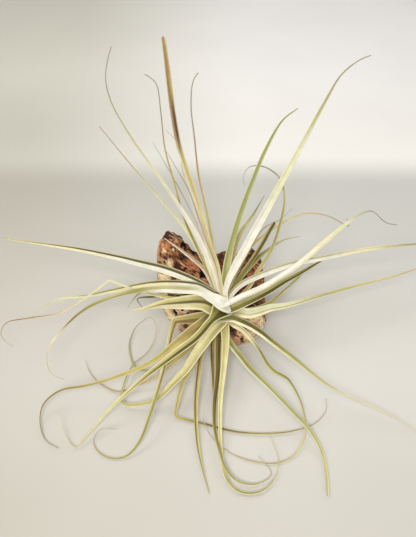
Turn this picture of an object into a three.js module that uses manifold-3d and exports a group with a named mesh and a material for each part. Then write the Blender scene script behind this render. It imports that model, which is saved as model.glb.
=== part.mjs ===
// A straminea hybrid air plant: a rosette of channelled, tapering leaves on a short crown, set in the front
// of a rough block of wood. Millimetres, +Z up, the front towards -Y, the origin under the middle of the
// wood on the surface that it stands on.
import * as THREE from 'three';
import { mergeVertices } from 'three/addons/utils/BufferGeometryUtils.js';
import Module from 'manifold-3d';

const wasm = await Module();
wasm.setup();

// Driving dimensions
const clearance = 0.35;       // between any two pieces
const bladeThickness = 0.8;   // measured straight through the fold
const foldDepth = 0.3;        // depth of a leaf's channel, as a share of its width
const ringsPerSpan = 3;       // rings of a blade between two points of its route
const crownFoot = new THREE.Vector3(10, -22, 28);
const crownTop = new THREE.Vector3(11, -34, 60);
const crownRadii = [0, 5, 7.5, 8, 6.5, 4.5, 2.5, 0];   // from the foot to the top, evenly spaced
const crownSides = 20;
const woodOutline = [[31, -45], [47, -37], [57, -20], [58, 5], [57, 30], [48, 44], [25, 45], [8, 44],
  [-10, 46], [-28, 54], [-46, 56], [-57, 43], [-56, 20], [-51, -6], [-43, -20], [-28, -28], [-5, -34],
  [15, -41]];                // from above
const woodFrontHeight = 27;   // of its rough top, which climbs towards the back
const woodClimb = 0.3;
const woodLobes = [           // raised or sunk places of the top: where, how wide and by how much
  { x: -44, y: 44, radius: 21, rise: 20 },
  { x: 48, y: 36, radius: 17, rise: 9 },
  { x: 10, y: -24, radius: 15, rise: -5 },
];
const woodWall = [0.93, 0.99, 1.02, 1, 1.01, 0.97];   // the outline's share from the ground up
const woodTopRings = 8;
const woodColumns = 54;
const woodRoughness = 1.8;

// Finishes
const silver = { color: 0xece8dc, roughness: 0.75 };
const olive = { color: 0x9c9c5a, roughness: 0.65 };
const straw = { color: 0xc8b17c, roughness: 0.8 };
const timber = { color: 0x9c6a48, roughness: 0.9 };

// Each leaf leaves the crown at a height (0 foot, 1 top) and follows its route; its widths are evenly
// spaced from the crown to the tip.
const leaves = [
  // Rising at the back
  { name: 'leaf_centre_dried', finish: straw, height: 0.95, widths: [5, 7, 6, 5.5, 5, 4.5, 3.5, 1.5],
    route: [[5, -2, 78], [-2, 8, 98], [-12, 24, 132], [-21, 35, 158], [-30, 48, 184], [-35, 59, 212],
      [-38, 69, 240], [-40, 75, 260], [-42, 81, 274]] },
  { name: 'leaf_back_tall_right', finish: silver, height: 0.92, widths: [6, 9, 8.5, 7, 5, 3.5, 2, 1],
    route: [[22, -8, 78], [39, 12, 100], [63, 43, 132], [90, 79, 166], [115, 114, 196], [131, 135, 212],
      [151, 151, 220], [164, 158, 222]] },
  { name: 'leaf_back_tall_left', finish: silver, height: 0.88, widths: [6, 7, 4.8, 3.1, 2.2, 1.6, 1],
    route: [[-4, 11, 78], [-22, 32, 106], [-50, 50, 147], [-78, 73, 180], [-95, 91, 204], [-101, 106, 220],
      [-100, 123, 232], [-97, 138, 240]] },
  { name: 'leaf_back_hooked_right', finish: silver, height: 0.78, widths: [4, 4, 3, 2.2, 1.6, 1.2, 1],
    route: [[4, 16, 73], [-3, 35, 110], [-12, 53, 146], [-16, 65, 184], [-19, 82, 208], [-17, 98, 224],
      [-12, 106, 229]] },
  { name: 'leaf_back_hooked_left', finish: straw, height: 0.8, widths: [4, 3.4, 2.6, 2.2, 1.7, 1.3, 1],
    route: [[-9, 17, 70], [-27, 43, 100], [-37, 64, 130], [-46, 81, 160], [-50, 104, 188],
      [-54, 122, 208], [-60, 128, 212], [-67, 133, 214]] },
  { name: 'leaf_back_thin_left', finish: silver, height: 0.72, widths: [4, 3.5, 2.6, 1.9, 1.3, 1],
    route: [[-7, 16, 64], [-28, 44, 88], [-55, 68, 110], [-88, 101, 132], [-111, 126, 147],
      [-121, 138, 152]] },
  { name: 'leaf_back_green', finish: olive, height: 0.84, widths: [6, 8, 6, 5, 3.5, 2.2, 1],
    route: [[18, 7, 84], [29, 35, 112], [42, 59, 138], [55, 83, 158], [73, 108, 177], [89, 119, 184]] },
  { name: 'leaf_back_dark', finish: olive, height: 0.72, widths: [5, 6, 5, 3.5, 1.2],
    route: [[23, 23, 72], [32, 40, 86], [44, 55, 96], [57, 75, 107]] },
  { name: 'leaf_back_loop', finish: olive, height: 0.5, widths: [4, 3.8, 3.4, 2.6, 2, 1.4, 1],
    route: [[37, -9, 50], [48, 5, 62], [61, 18, 78], [70, 34, 99], [75, 53, 118], [71, 71, 131],
      [55, 85, 136], [40, 90, 132], [34, 85, 122], [36, 82, 114]] },
  { name: 'wisp_back_pale', finish: straw, height: 0.76, widths: [1.4, 1.2, 1, 1],
    route: [[-11, 41, 84], [-27, 68, 106], [-50, 97, 136], [-62, 115, 148]] },
  { name: 'wisp_back_red', finish: straw, height: 1, widths: [1.5, 1.4, 1.2, 1],
    route: [[5, -14, 88], [-6, 1, 114], [-22, 31, 148], [-36, 48, 166], [-43, 57, 174]] },
  { name: 'wisp_back_short', finish: straw, height: 0.91, widths: [1.3, 1.2, 1.1, 1],
    route: [[3, 3, 69], [-15, 28, 116], [-28, 57, 152], [-34, 75, 172], [-44, 84, 180]] },
  { name: 'wisp_back_grey', finish: straw, height: 0.66, widths: [1.6, 1.3, 1.1, 1],
    route: [[36, 16, 72], [56, 48, 84], [73, 57, 88], [88, 72, 92]] },

  // Right
  { name: 'leaf_right_tan_arch', finish: straw, height: 0.78, widths: [3, 3, 2.4, 1.8, 1.4, 1],
    route: [[30, 7, 74], [43, 26, 80], [69, 50, 84], [102, 72, 84], [130, 80, 74], [149, 81, 62],
      [156, 82, 58], [154, 89, 64]] },
  { name: 'leaf_right_broken', finish: straw, height: 0.62, widths: [4, 5, 4, 3.5],
    route: [[26, -3, 52], [41, 16, 66], [52, 26, 76], [59, 37, 86], [66, 45, 94]] },
  { name: 'leaf_right_dark_arch', finish: olive, height: 0.56, widths: [5, 7, 4.5, 2, 1],
    route: [[27, 4, 50], [41, 18, 58], [56, 31, 64], [78, 47, 68], [99, 60, 62]] },
  { name: 'leaf_right_curled', finish: silver, height: 0.95, widths: [6, 6.5, 6, 5.5, 4.5, 3.2, 2, 1],
    route: [[28, -31, 65], [54, -22, 70], [82, -9, 76], [99, 5, 86], [126, 26, 97], [153, 46, 104],
      [167, 52, 104], [182, 46, 94], [196, 49, 88]] },
  { name: 'leaf_right_long_upper', finish: silver, height: 0.7, widths: [5, 5.5, 5, 4, 3, 2, 1],
    route: [[35, -8, 62], [70, 4, 70], [115, 13, 74], [157, 23, 76], [191, 29, 76], [216, 34, 74],
      [243, 39, 70]] },
  { name: 'leaf_right_olive', finish: olive, height: 0.6, widths: [5, 5, 4, 2.8, 1.2],
    route: [[35, -25, 51], [64, -8, 50], [94, 17, 47], [124, 43, 42]] },
  { name: 'leaf_right_low', finish: olive, height: 0.4, widths: [4, 4, 4, 3, 2, 1],
    route: [[25, -33, 46], [41, -31, 45], [60, -20, 42], [76, -1, 38], [92, 20, 34], [114, 51, 30]] },
  { name: 'leaf_right_kinked', finish: silver, height: 0.48, widths: [6, 7.5, 5.5, 4.5, 3.5, 2.5, 1.8, 1],
    route: [[41, -40, 52], [60, -37, 55], [73, -35, 55], [99, -25, 54], [144, -6, 50], [192, 15, 44],
      [223, 31, 40], [251, 48, 36]] },

  // Front right
  { name: 'leaf_front_right_long', finish: silver, height: 0.42, widths: [7, 10, 8, 6, 4, 2.8, 2, 1],
    route: [[31, -53, 52], [49, -71, 54], [76, -93, 48], [105, -112, 34], [133, -121, 22], [169, -134, 12],
      [188, -146, 7], [205, -160, 3]] },
  { name: 'leaf_front_right_twisted', finish: olive, height: 0.28, widths: [4, 4, 3.6, 3.2, 2.8, 2.2, 1.6, 1.2, 1],
    route: [[30, -64, 44], [42, -78, 43], [52, -89, 38], [62, -98, 30], [76, -105, 21], [85, -124, 12],
      [86, -145, 6], [76, -164, 3], [58, -173, 2], [36, -171, 2], [15, -162, 2], [-2, -147, 6],
      [-8, -136, 16]] },
  { name: 'leaf_front_right_down', finish: olive, height: 0.12, widths: [4, 5, 4, 3.2, 2.5, 2, 1],
    route: [[19, -68, 33], [34, -89, 35], [54, -114, 30], [75, -134, 20], [89, -147, 12], [98, -163, 5],
      [100, -184, 3], [98, -203, 3]] },

  // Front
  { name: 'leaf_front_broad', finish: olive, height: 0.27, widths: [7, 8.5, 6, 5, 4, 3.2, 2.4, 1.7, 1],
    route: [[13, -72, 38], [11, -96, 33], [8, -121, 23], [8, -142, 14], [9, -168, 7], [13, -188, 4],
      [24, -199, 3], [41, -199, 3], [55, -187, 3], [59, -172, 5], [53, -150, 8]] },
  { name: 'leaf_front_dark', finish: olive, height: 0.18, widths: [4, 4.5, 4, 3.4, 2.6, 1.9, 1.4, 1],
    route: [[7, -65, 35], [6, -97, 25], [3, -123, 17], [3, -144, 12], [7, -165, 11], [13, -183, 9],
      [24, -192, 6], [40, -192, 3], [52, -184, 4], [41, -170, 9]] },
  { name: 'leaf_front_short', finish: olive, height: 0.1, widths: [4, 4, 3.5, 2.2, 1],
    route: [[2, -60, 36], [1, -91, 26], [2, -104, 18], [0, -118, 10], [-4, -132, 4]] },
  { name: 'leaf_front_left', finish: olive, height: 0.05, widths: [4, 4.5, 4, 3.4, 2.6, 1],
    route: [[-4, -62, 33], [-9, -75, 33], [-12, -95, 27], [-14, -114, 18], [-14, -135, 9],
      [-12, -157, 4], [-7, -182, 3], [-2, -201, 3]] },
  { name: 'leaf_front_kinked', finish: straw, height: 0.02, widths: [4, 4, 3.4, 3, 2.4, 1.9, 1.4, 1],
    route: [[-4, -57, 29], [-15, -80, 25], [-27, -104, 22], [-32, -118, 11], [-33, -126, 4], [-25, -130, 3],
      [-6, -135, 3], [22, -143, 3], [50, -145, 3], [77, -142, 3], [98, -134, 4], [108, -123, 8],
      [108, -114, 14]] },

  // Front left
  { name: 'leaf_front_left_broad', finish: olive, height: 0.32, widths: [8, 10, 7, 4.5, 2.8, 2, 1.5, 1.2, 1],
    route: [[-7, -63, 41], [-21, -87, 39], [-37, -106, 27], [-50, -116, 16], [-67, -118, 9],
      [-81, -116, 7], [-85, -109, 7], [-84, -91, 8], [-77, -72, 9], [-64, -58, 10], [-57, -36, 12],
      [-59, -25, 20], [-66, -26, 27]] },
  { name: 'leaf_front_left_green', finish: olive, height: 0.5, widths: [7, 9, 7, 4.8, 3.4, 2.2, 1.4, 1],
    route: [[-6, -55, 50], [-22, -78, 50], [-46, -94, 42], [-72, -111, 28], [-95, -129, 15],
      [-112, -148, 7], [-122, -158, 3], [-130, -152, 6], [-140, -132, 18]] },
  { name: 'leaf_front_left_tan', finish: straw, height: 0.18, widths: [4, 5, 4, 2.8, 2, 1.4, 1],
    route: [[-16, -69, 38], [-35, -83, 29], [-54, -92, 16], [-73, -98, 7], [-90, -100, 3], [-106, -93, 3],
      [-118, -82, 3], [-124, -73, 5], [-126, -66, 8]] },
  { name: 'leaf_front_left_loop', finish: olive, height: 0.1, widths: [3, 3, 2.8, 2.4, 1.8, 1.3, 1],
    route: [[-22, -71, 34], [-42, -81, 22], [-60, -81, 10], [-76, -71, 4], [-83, -55, 3], [-85, -38, 3],
      [-80, -21, 5], [-69, -13, 10]] },
  { name: 'leaf_left_far_curl', finish: olive, height: 0.56, widths: [6, 9, 6.5, 4.6, 3.4, 2.6, 1.9, 1.4, 1],
    route: [[-11, -58, 58], [-33, -83, 59], [-60, -100, 50], [-88, -107, 38], [-116, -111, 30],
      [-142, -111, 21], [-157, -120, 12], [-159, -133, 5], [-151, -151, 3], [-137, -160, 4]] },
  { name: 'leaf_left_kinked_drop', finish: silver, height: 0.66, widths: [5, 6, 4.6, 4.2, 3.5, 2.6, 1.6, 1.2, 1],
    route: [[-11, -47, 60], [-26, -58, 68], [-33, -69, 74], [-36, -82, 74], [-40, -104, 65],
      [-46, -120, 49], [-55, -137, 24], [-65, -157, 9], [-76, -167, 3], [-90, -168, 2], [-103, -161, 3],
      [-107, -151, 4], [-101, -143, 7], [-85, -146, 13]] },

  // Left
  { name: 'leaf_left_pale_fold', finish: silver, height: 0.64, widths: [7, 11, 11, 8, 4.5, 1.2],
    route: [[-13, -35, 59], [-30, -37, 61], [-50, -37, 60], [-68, -39, 56], [-82, -40, 52]] },
  { name: 'leaf_left_brown_tip', finish: straw, height: 0.68, widths: [3.5, 3, 2.8, 2.4, 2, 1.6, 1],
    route: [[-21, -29, 57], [-43, -29, 60], [-66, -29, 68], [-89, -26, 76], [-100, -24, 78], [-108, -27, 74],
      [-124, -36, 66], [-147, -46, 57], [-178, -45, 48], [-204, -45, 40], [-209, -52, 33],
      [-206, -57, 29], [-196, -63, 25]] },
  { name: 'leaf_left_upper_white', finish: silver, height: 0.86, widths: [5, 6, 5, 4, 3, 2, 1],
    route: [[-11, -24, 68], [-31, -20, 72], [-60, -21, 73], [-89, -26, 70], [-119, -31, 66], [-147, -31, 61],
      [-166, -36, 54], [-177, -43, 47]] },
  { name: 'leaf_left_curved_white', finish: silver, height: 1, widths: [6, 9, 7.5, 6.5, 5, 3.6, 2.4, 1.5, 1],
    route: [[-6, -33, 71], [-22, -33, 76], [-49, -35, 80], [-75, -39, 80], [-102, -44, 74], [-122, -52, 67],
      [-140, -64, 56], [-153, -77, 45], [-155, -89, 37], [-150, -98, 30], [-138, -102, 26]] },
  { name: 'leaf_left_long', finish: silver, height: 0.9, widths: [7, 9.5, 8, 6.5, 5, 3.6, 2, 1],
    route: [[-18, -10, 64], [-51, -2, 72], [-91, 5, 81], [-130, 6, 92], [-171, 14, 93], [-200, 21, 92],
      [-211, 25, 91]] },
  { name: 'leaf_left_pink_short', finish: silver, height: 0.62, widths: [3.5, 3.5, 3, 2.2, 1],
    route: [[-7, 12, 58], [-22, 21, 68], [-37, 28, 77], [-49, 33, 84]] },
  { name: 'wisp_left_kinked', finish: straw, height: 0.54, widths: [2, 1.6, 1.3, 1],
    route: [[-15, -23, 50], [-40, -19, 50], [-60, -18, 49], [-75, -19, 47], [-70, -24, 40]] },
  { name: 'wisp_left_low', finish: straw, height: 0.46, widths: [1.8, 1.5, 1.2, 1],
    route: [[-25, -16, 48], [-52, -9, 47], [-73, -10, 46], [-80, -18, 44], [-85, -27, 42]] },
];

// Solids and meshes
function solidOf(geometry) {
  const bare = geometry.clone();
  bare.deleteAttribute('normal');
  bare.deleteAttribute('uv');
  const merged = mergeVertices(bare, 1e-4);
  return new wasm.Manifold(new wasm.Mesh({
    numProp: 3,
    vertProperties: merged.attributes.position.array,
    triVerts: new Uint32Array(merged.index.array),
  }));
}

function meshOf(solid, name, finish) {
  const { vertProperties, triVerts } = solid.getMesh();
  const geometry = new THREE.BufferGeometry();
  geometry.setAttribute('position', new THREE.BufferAttribute(vertProperties, 3));
  geometry.setIndex(new THREE.BufferAttribute(triVerts, 1));
  geometry.computeVertexNormals();
  const mesh = new THREE.Mesh(geometry, new THREE.MeshStandardMaterial({ ...finish, metalness: 0 }));
  mesh.name = name;
  return mesh;
}

function largestPiece(solid) {
  const pieces = solid.decompose();
  return pieces.reduce((best, piece) => (piece.volume() > best.volume() ? piece : best));
}

// The value at a share of the way along an evenly spaced list
function along(list, share) {
  const place = Math.min(Math.max(share, 0), 1) * (list.length - 1);
  const before = Math.min(Math.floor(place), list.length - 2);
  return THREE.MathUtils.lerp(list[before], list[before + 1], place - before);
}

// Crown: a leaning bulb, turned about its own axis
function crownSolid(grow) {
  const axis = crownTop.clone().sub(crownFoot);
  const length = axis.length();
  const last = crownRadii.length - 1;
  const profile = crownRadii.map((radius, i) => {
    const end = i === 0 ? -grow : i === last ? grow : 0;
    const onAxis = i === 0 || i === last;
    return new THREE.Vector2(onAxis ? 0 : radius + grow, (length * i) / last + end);
  });
  const bulb = new THREE.LatheGeometry(profile, crownSides);
  const lean = new THREE.Quaternion().setFromUnitVectors(new THREE.Vector3(0, 1, 0), axis.normalize());
  bulb.applyQuaternion(lean);
  bulb.translate(crownFoot.x, crownFoot.y, crownFoot.z);
  return solidOf(bulb);
}

// A leaf's spine, with the direction that its channel opens to carried along without turning about it
function spineOf(leaf) {
  const root = crownFoot.clone().lerp(crownTop, leaf.height);
  const points = [root, ...leaf.route.map((p) => new THREE.Vector3(...p))];
  const curve = new THREE.CatmullRomCurve3(points);
  const steps = (points.length - 1) * ringsPerSpan;
  const opening = crownTop.clone().sub(crownFoot).normalize();
  const rings = [];
  let length = 0;
  for (let i = 0; i <= steps; i += 1) {
    const centre = curve.getPoint(i / steps);
    const ahead = curve.getTangent(i / steps);
    opening.addScaledVector(ahead, -opening.dot(ahead)).normalize();
    if (i > 0) length += centre.distanceTo(rings[i - 1].centre);
    rings.push({ centre, opening: opening.clone(), side: ahead.clone().cross(opening), length });
  }
  return rings;
}

// A leaf: a blade folded along its middle into a shallow channel, tapering to its tip. Its back (the first
// two sides of a ring) and its front are split into triangles alike.
function leafSolid(leaf, grow) {
  const rings = spineOf(leaf);
  const whole = rings[rings.length - 1].length;
  const positions = [];
  rings.forEach(({ centre, opening, side, length }) => {
    const halfWidth = along(leaf.widths, length / whole) / 2;
    const fold = 2 * halfWidth * foldDepth;
    const reach = halfWidth + grow;
    const lift = bladeThickness / 2 + 1.3 * grow;
    const section = [[-reach, fold / 2 - lift], [0, -fold / 2 - lift], [reach, fold / 2 - lift],
      [reach, fold / 2 + lift], [0, -fold / 2 + lift], [-reach, fold / 2 + lift]];
    section.forEach(([across, up]) => {
      const corner = centre.clone().addScaledVector(side, across).addScaledVector(opening, up);
      positions.push(corner.x, corner.y, corner.z);
    });
  });
  const sides = 6;
  const faces = [];
  for (let ring = 0; ring < rings.length - 1; ring += 1) {
    for (let i = 0; i < sides; i += 1) {
      const a = ring * sides + i;
      const b = ring * sides + ((i + 1) % sides);
      if (i < 2) faces.push(a, a + sides, b, b, a + sides, b + sides);
      else faces.push(a, a + sides, b + sides, a, b + sides, b);
    }
  }
  const end = (rings.length - 1) * sides;
  faces.push(0, 1, 4, 0, 4, 5, 1, 2, 4, 2, 3, 4);
  faces.push(end, end + 4, end + 1, end, end + 5, end + 4, end + 1, end + 4, end + 2, end + 2, end + 4, end + 3);
  const geometry = new THREE.BufferGeometry();
  geometry.setAttribute('position', new THREE.Float32BufferAttribute(positions, 3));
  geometry.setIndex(faces);
  return solidOf(geometry);
}

// Wood: walls drawn up from the outline, closed by a rough top that climbs to the back
function woodTop(x, y) {
  const slope = woodFrontHeight + woodClimb * (y + 40);
  const lobes = woodLobes.reduce((sum, lobe) => {
    const away = ((x - lobe.x) ** 2 + (y - lobe.y) ** 2) / lobe.radius ** 2;
    return sum + lobe.rise * Math.exp(-away);
  }, 0);
  const grain = Math.sin(0.21 * x + 1.4 * Math.sin(0.11 * y)) + 0.7 * Math.sin(0.37 * y + 0.26 * x);
  return slope + lobes + woodRoughness * grain;
}

function woodSolid() {
  const corners = woodOutline.map(([x, y]) => new THREE.Vector3(x, y, 0));
  const edge = new THREE.CatmullRomCurve3(corners, true);
  const middle = corners.reduce((sum, p) => sum.add(p), new THREE.Vector3()).divideScalar(corners.length);
  const levels = woodWall.map((share, i) => ({ share, rise: i / (woodWall.length - 1) }));
  for (let ring = 1; ring < woodTopRings; ring += 1) {
    levels.push({ share: woodWall[woodWall.length - 1] * (1 - ring / woodTopRings), rise: 1 });
  }
  const positions = [middle.x, middle.y, 0];
  levels.forEach(({ share, rise }) => {
    for (let i = 0; i < woodColumns; i += 1) {
      const out = edge.getPoint(i / woodColumns).sub(middle);
      const furrow = 1 + 0.02 * Math.sin(11 * i) * Math.sin(Math.PI * rise + 0.7 * i);
      const x = middle.x + out.x * share * furrow;
      const y = middle.y + out.y * share * furrow;
      positions.push(x, y, rise * woodTop(x, y));
    }
  });
  positions.push(middle.x, middle.y, woodTop(middle.x, middle.y));
  const faces = [];
  const summit = 1 + levels.length * woodColumns;
  for (let i = 0; i < woodColumns; i += 1) {
    const next = (i + 1) % woodColumns;
    faces.push(0, 1 + next, 1 + i);
    for (let level = 0; level < levels.length - 1; level += 1) {
      const low = 1 + level * woodColumns;
      const high = low + woodColumns;
      faces.push(low + i, low + next, high + next, low + i, high + next, high + i);
    }
    const last = summit - woodColumns;
    faces.push(last + i, last + next, summit);
  }
  const geometry = new THREE.BufferGeometry();
  geometry.setAttribute('position', new THREE.Float32BufferAttribute(positions, 3));
  geometry.setIndex(faces);
  return solidOf(geometry);
}

const plant = new THREE.Group();
const crown = crownSolid(0);
plant.add(meshOf(crown, 'crown', silver));
const taken = [crownSolid(clearance)];
leaves.forEach((leaf) => {
  const raw = leafSolid(leaf, 0);
  const free = taken.reduce((rest, other) => rest.subtract(other), raw);
  plant.add(meshOf(largestPiece(free), leaf.name, leaf.finish));
  taken.push(leafSolid(leaf, clearance));
});
const wood = taken.reduce((rest, other) => rest.subtract(other), woodSolid());
plant.add(meshOf(largestPiece(wood), 'wood', timber));

export default plant;
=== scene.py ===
import math
import bpy
from mathutils import Vector, Matrix, noise


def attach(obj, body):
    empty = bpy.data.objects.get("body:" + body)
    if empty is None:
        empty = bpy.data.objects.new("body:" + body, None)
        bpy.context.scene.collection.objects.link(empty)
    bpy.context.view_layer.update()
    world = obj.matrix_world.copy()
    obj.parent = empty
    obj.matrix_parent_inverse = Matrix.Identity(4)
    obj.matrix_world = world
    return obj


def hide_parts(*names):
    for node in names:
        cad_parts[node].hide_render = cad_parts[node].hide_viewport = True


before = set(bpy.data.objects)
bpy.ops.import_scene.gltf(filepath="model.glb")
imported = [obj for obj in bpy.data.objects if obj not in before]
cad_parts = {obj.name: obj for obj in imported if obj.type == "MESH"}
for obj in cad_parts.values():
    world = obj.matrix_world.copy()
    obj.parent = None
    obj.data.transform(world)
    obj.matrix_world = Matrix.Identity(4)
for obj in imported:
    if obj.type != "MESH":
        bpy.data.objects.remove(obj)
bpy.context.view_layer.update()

# A straminea hybrid air plant in the front of a rough block of wood, dressed over its solids.
# Routes and widths are in millimetres, as they are in the part, and turn into metres as they are used.

mm = 0.001

# Colours of leaf and wood as chips (red, green, blue out of 255)
chips = {
    "white": (224, 220, 205),
    "cream": (226, 216, 174),
    "margin": (234, 225, 183),
    "pale": (212, 210, 172),
    "butter": (214, 205, 148),
    "hay": (190, 180, 117),
    "lime": (172, 167, 92),
    "sage": (177, 170, 122),
    "green": (156, 158, 98),
    "olive": (140, 132, 66),
    # moss also serves as the painted shade at the bottom of a fold
    "moss": (84, 76, 24),
    "straw": (206, 184, 134),
    "gold": (186, 168, 102),
    "tan": (176, 146, 104),
    "dusk": (184, 148, 126),
    "rust": (146, 92, 60),
    "brown": (124, 100, 50),
    "umber": (100, 72, 48),
    "pink": (228, 212, 198),
    "grey": (146, 140, 132),
}


def linear(chip):
    # a chip as the linear colour that a shader takes
    def channel(value):
        share = value / 255
        return share / 12.92 if share <= 0.04045 else ((share + 0.055) / 1.055) ** 2.4
    return tuple(channel(value) for value in chip) + (1.0,)


# Node sums

class Field:
    # a node's output that can stand in a sum, such as a * 2 + b
    def __init__(self, tree, socket):
        self.tree = tree
        self.socket = socket
        self.isVector = socket.type in ("VECTOR", "RGBA")

    def calc(self, operation, *others):
        node = self.tree.nodes.new("ShaderNodeVectorMath" if self.isVector else "ShaderNodeMath")
        node.operation = operation
        plug(self.tree, node.inputs[0], self)
        for number, value in enumerate(others, start=1):
            plug(self.tree, node.inputs[3 if operation == "SCALE" else number], value)
        return Field(self.tree, node.outputs[1 if operation in ("DOT_PRODUCT", "LENGTH") else 0])

    def __add__(self, other):
        return self.calc("ADD", other)

    def __sub__(self, other):
        return self.calc("SUBTRACT", other)

    def __mul__(self, other):
        stretches = isinstance(other, tuple) or isinstance(other, Field) and other.isVector
        return self.calc("SCALE" if self.isVector and not stretches else "MULTIPLY", other)

    def __truediv__(self, other):
        return self.calc("DIVIDE", other)

    def between(self, low, high, lowValue=0.0, highValue=1.0):
        # a smooth step from lowValue at low to highValue at high
        node = self.tree.nodes.new("ShaderNodeMapRange")
        node.interpolation_type = "SMOOTHSTEP"
        for number, value in enumerate((self, low, high, lowValue, highValue)):
            plug(self.tree, node.inputs[number], value)
        return Field(self.tree, node.outputs[0])


def plug(tree, socket, value):
    if isinstance(value, Field):
        tree.links.new(value.socket, socket)
    else:
        socket.default_value = value


def place(tree, kind, inputs=None, **settings):
    # a new node with its settings, and its inputs by name or number
    node = tree.nodes.new(kind)
    for name, value in settings.items():
        setattr(node, name, value)
    for name, value in (inputs or {}).items():
        plug(tree, node.inputs[name], value)
    return node


def field(tree, kind, inputs=None, output=0, **settings):
    return Field(tree, place(tree, kind, inputs, **settings).outputs[output])


def vectorOf(tree, x, y, z):
    return field(tree, "ShaderNodeCombineXYZ", {0: x, 1: y, 2: z})


def axisOf(tree, vector, number):
    # x, y or z of a vector as number 0, 1 or 2
    return field(tree, "ShaderNodeSeparateXYZ", {0: vector}, number)


def noiseAt(tree, vector, scale, detail=2.0, output=0):
    return field(tree, "ShaderNodeTexNoise", {"Vector": vector, "Scale": scale, "Detail": detail}, output)


def mixed(tree, factor, first, second, blend="MIX"):
    return field(tree, "ShaderNodeMix", {0: factor, 6: first, 7: second}, 2, data_type="RGBA",
                 blend_type=blend)


def shaded(tree, value):
    return field(tree, "ShaderNodeCombineColor", {0: value, 1: value, 2: value})


def attribute(tree, label, output="Fac"):
    # what a material reads from its mesh
    return field(tree, "ShaderNodeAttribute", output=output, attribute_name=label)


def named(tree, label, kind="FLOAT"):
    # what a geometry tree reads from its mesh
    return field(tree, "GeometryNodeInputNamedAttribute", {"Name": label}, data_type=kind)


def storeNamed(tree, geometry, label, value, kind="FLOAT"):
    return field(tree, "GeometryNodeStoreNamedAttribute", {
        "Geometry": geometry, "Name": label, "Value": value}, data_type=kind, domain="POINT")


def newMaterial(name):
    material = bpy.data.materials.new(name)
    material.use_nodes = True
    tree = material.node_tree
    return material, tree, tree.nodes["Principled BSDF"]


def newTree(name, inputs, output):
    # a geometry node group, and its named inputs as fields
    tree = bpy.data.node_groups.new(name, "GeometryNodeTree")
    tree.is_modifier = True
    for label, kind in inputs:
        tree.interface.new_socket(label, in_out="INPUT", socket_type="NodeSocket" + kind)
    tree.interface.new_socket(output, in_out="OUTPUT", socket_type="NodeSocketGeometry")
    given = tree.nodes.new("NodeGroupInput")
    return tree, {socket.name: Field(tree, socket) for socket in given.outputs if socket.name}


def finishTree(tree, geometry, material):
    # every tree ends here: its material, then real meshes
    painted = field(tree, "GeometryNodeSetMaterial", {"Geometry": geometry, "Material": material})
    real = field(tree, "GeometryNodeRealizeInstances", {"Geometry": painted})
    plug(tree, tree.nodes.new("NodeGroupOutput").inputs[0], real)


# Meshes and pieces

def storeValues(mesh, label, values, kind="FLOAT"):
    # numbers, directions or colours at a mesh's points
    flat = values if kind == "FLOAT" else [number for value in values for number in value]
    key = {"FLOAT": "value", "FLOAT_VECTOR": "vector", "FLOAT_COLOR": "color"}[kind]
    mesh.attributes.new(label, kind, "POINT").data.foreach_set(key, flat)


def ringFaces(rings, sides):
    # faces between closed rings of points, and a fan at each end to the two points that follow the rings
    faces = []
    for ring in range(rings - 1):
        for side in range(sides):
            low = ring * sides
            after = (side + 1) % sides
            faces.append((low + side, low + after, low + sides + after, low + sides + side))
    foot = rings * sides
    last = foot - sides
    for side in range(sides):
        after = (side + 1) % sides
        faces.append((foot, after, side))
        faces.append((foot + 1, last + side, last + after))
    return faces


def addObject(name, data):
    thing = bpy.data.objects.new(name, data)
    bpy.context.scene.collection.objects.link(thing)
    return thing


def growMesh(name, sourceMesh, tree, values):
    # runs a node group on a mesh and keeps the result as a plain mesh of its own
    source = addObject(name + "Source", sourceMesh)
    modifier = source.modifiers.new(tree.name, "NODES")
    modifier.node_group = tree
    for item in tree.interface.items_tree:
        if item.in_out == "INPUT" and item.name in values:
            modifier[item.identifier] = values[item.name]
    ready = source.evaluated_get(bpy.context.evaluated_depsgraph_get())
    mesh = bpy.data.meshes.new_from_object(ready)
    source.modifiers.remove(modifier)
    bpy.data.objects.remove(source)
    return mesh


def addPiece(name, mesh, node):
    # a finished piece: it stands for its node and rides with the plant
    piece = addObject(name, mesh)
    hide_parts(node)
    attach(piece, "root")


# Leaf finish

leafFinishes = {
    "silver_leaf": {"roughness": 0.62, "sheen": 0.05, "down": 0.05, "ribs": 7.0, "ribDepth": 0.06,
                    "grain": 0.00012},
    "olive_leaf": {"roughness": 0.55, "sheen": 0.0, "down": 0.02, "ribs": 8.0, "ribDepth": 0.09,
                   "grain": 0.0001},
    "dry_leaf": {"roughness": 0.7, "sheen": 0.0, "down": 0.02, "ribs": 9.0, "ribDepth": 0.16,
                 "grain": 0.00016},
}


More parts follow.
